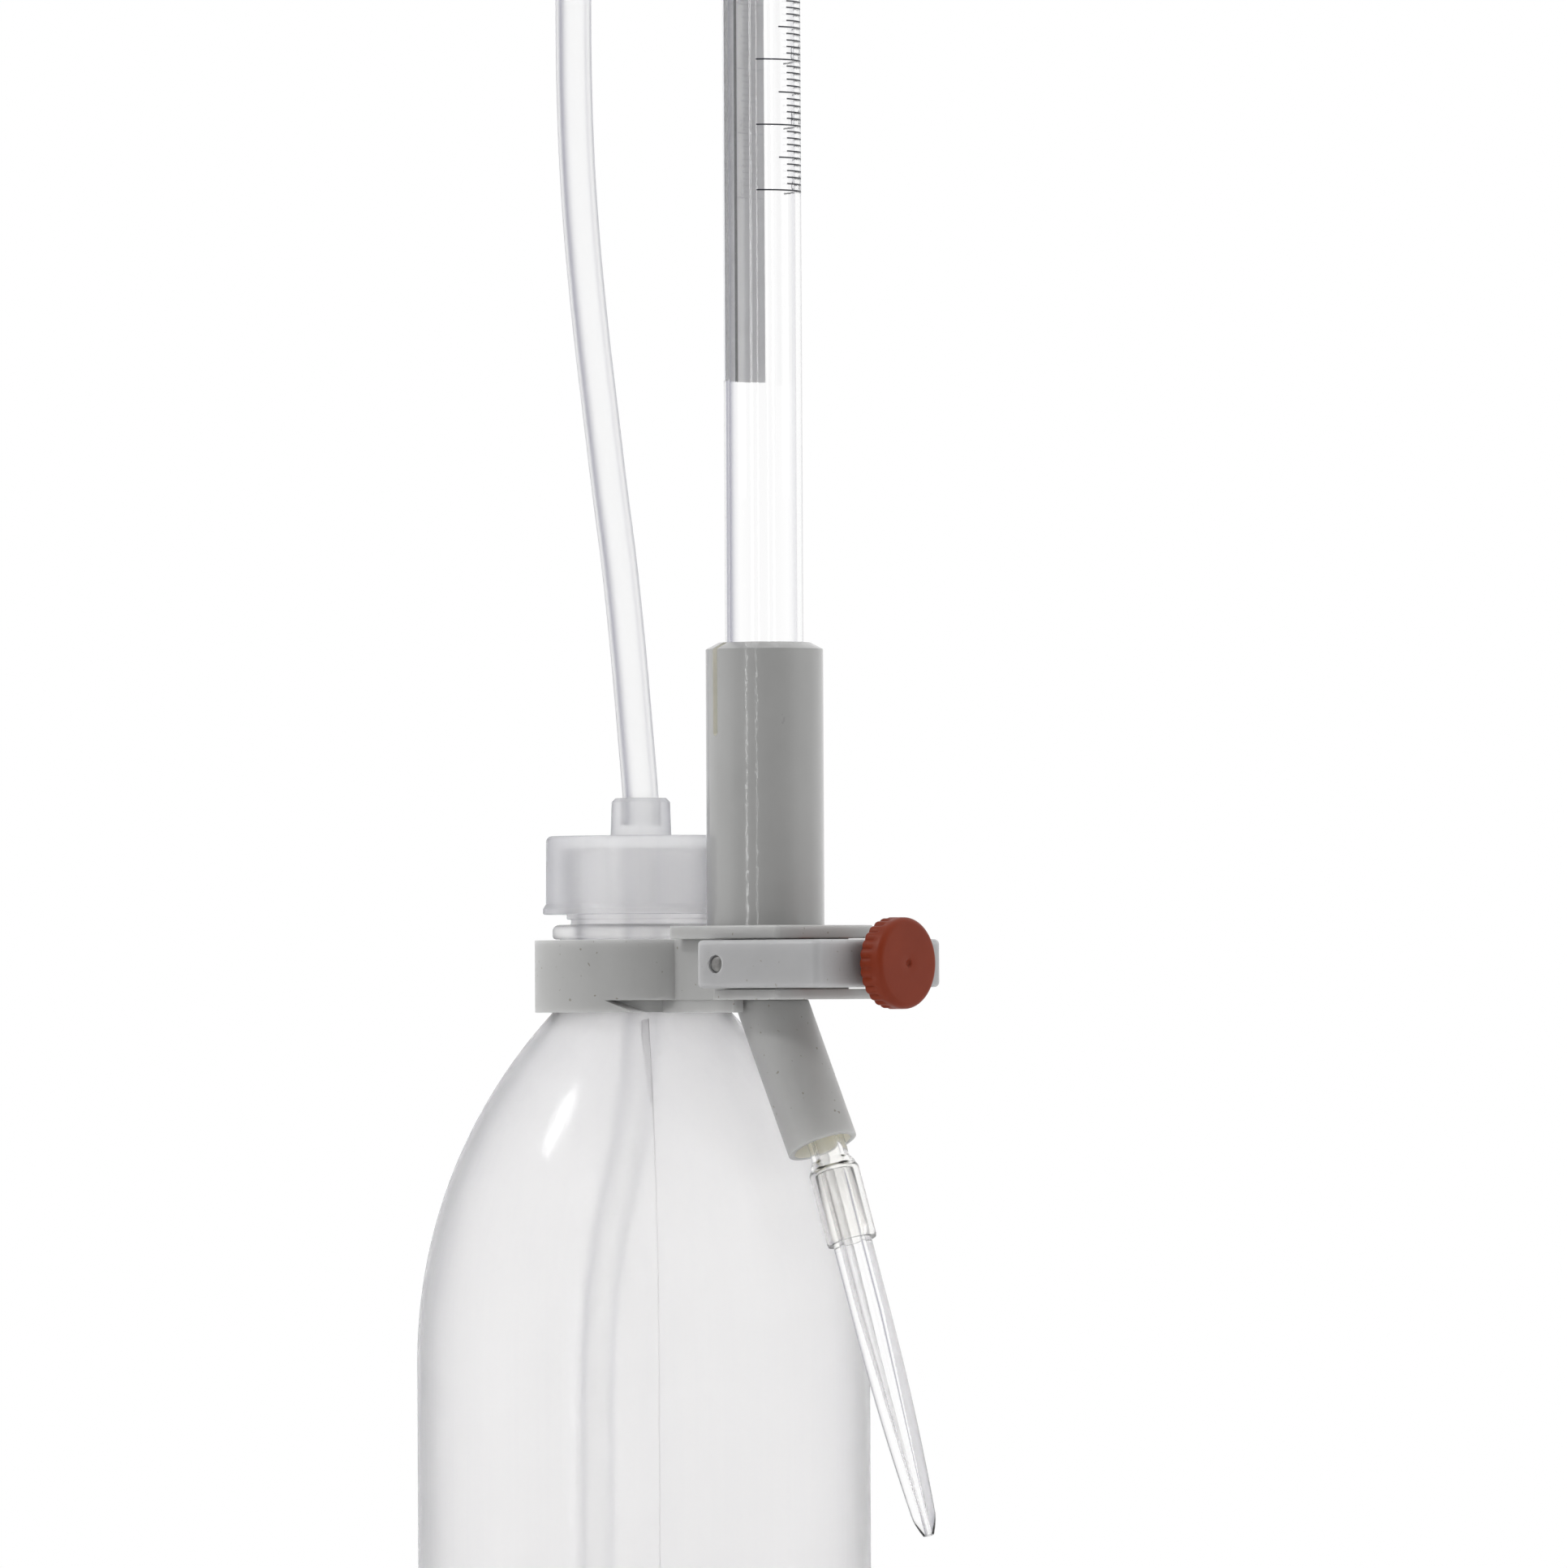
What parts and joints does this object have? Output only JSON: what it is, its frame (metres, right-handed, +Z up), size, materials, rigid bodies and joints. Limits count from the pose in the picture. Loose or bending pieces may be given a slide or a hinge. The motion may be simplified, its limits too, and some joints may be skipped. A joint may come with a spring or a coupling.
{
  "type": "automatic burette",
  "caption": "Bottle-mounted automatic burette: squeeze bottle, riser hose, clamped glass measuring tube, push-yoke pinch valve with fine drip screw and glass dropping tip.",
  "frame": {"origin": "middle of the bottle's flat base, on the table", "axes": "+Z up along the bottle's axis; +X from the bottle towards the burette, the yoke and the knob; the plane Y = 0 halves the holder, the valve and the glass"},
  "size_m": [0.0996, 0.0752, 0.604],
  "materials": {
    "bottle_plastic": "milky, slightly see-through polyethylene",
    "cap_plastic": "milky polyethylene",
    "hose_plastic": "clear soft tubing",
    "grey_plastic": "satin pale grey moulding",
    "white_plastic": "satin white moulding",
    "orange_plastic": "satin orange-red moulding",
    "clear_glass": "clear laboratory glass",
    "soft_silicone": "see-through soft tube",
    "dark_rubber": "matte",
    "steel": "plain stainless"
  },
  "bodies": {
    "frame": {"bottle": "bottle_plastic", "screw_cap": "cap_plastic", "riser_tube": "hose_plastic", "fill_hose": "hose_plastic", "holder": "grey_plastic", "valve_cover": "grey_plastic", "burette_sleeve": "grey_plastic", "spout_tube": "grey_plastic", "burette_tube": "clear_glass", "seat_ring": "dark_rubber", "zero_tube": "clear_glass", "head_cap": "cap_plastic", "pinch_tube": "soft_silicone", "glass_tip": "clear_glass", "return_spring": "steel"},
    "yoke": {"yoke": "white_plastic", "guide_pins": "steel"},
    "pinch_slide": {"pinch_slide": "orange_plastic"},
    "knob": {"knob": "orange_plastic", "adjusting_screw": "steel"}
  },
  "joints": [
    {"name": "yoke_push", "type": "slide", "parent": "frame", "child": "yoke", "axis": [-1, 0, 0], "range_m": [0, 0.0026], "stiffness_N_per_m": 1500, "springref_m": -0.002, "deforming": ["return_spring"]},
    {"name": "drip_feed", "type": "slide", "parent": "yoke", "child": "pinch_slide", "axis": [-1, 0, 0], "range_m": [0, 0.0014], "deforming": ["return_spring"]},
    {"name": "knob_turn", "type": "hinge", "parent": "pinch_slide", "child": "knob", "pos_m": [0.0531, 0, 0.16385], "axis": [-1, 0, 0], "range_deg": [0, 720]}
  ],
  "couplings": [
    {"joint": "knob_turn", "follows": "drip_feed", "rad_per_m": 8975.9}
  ]
}
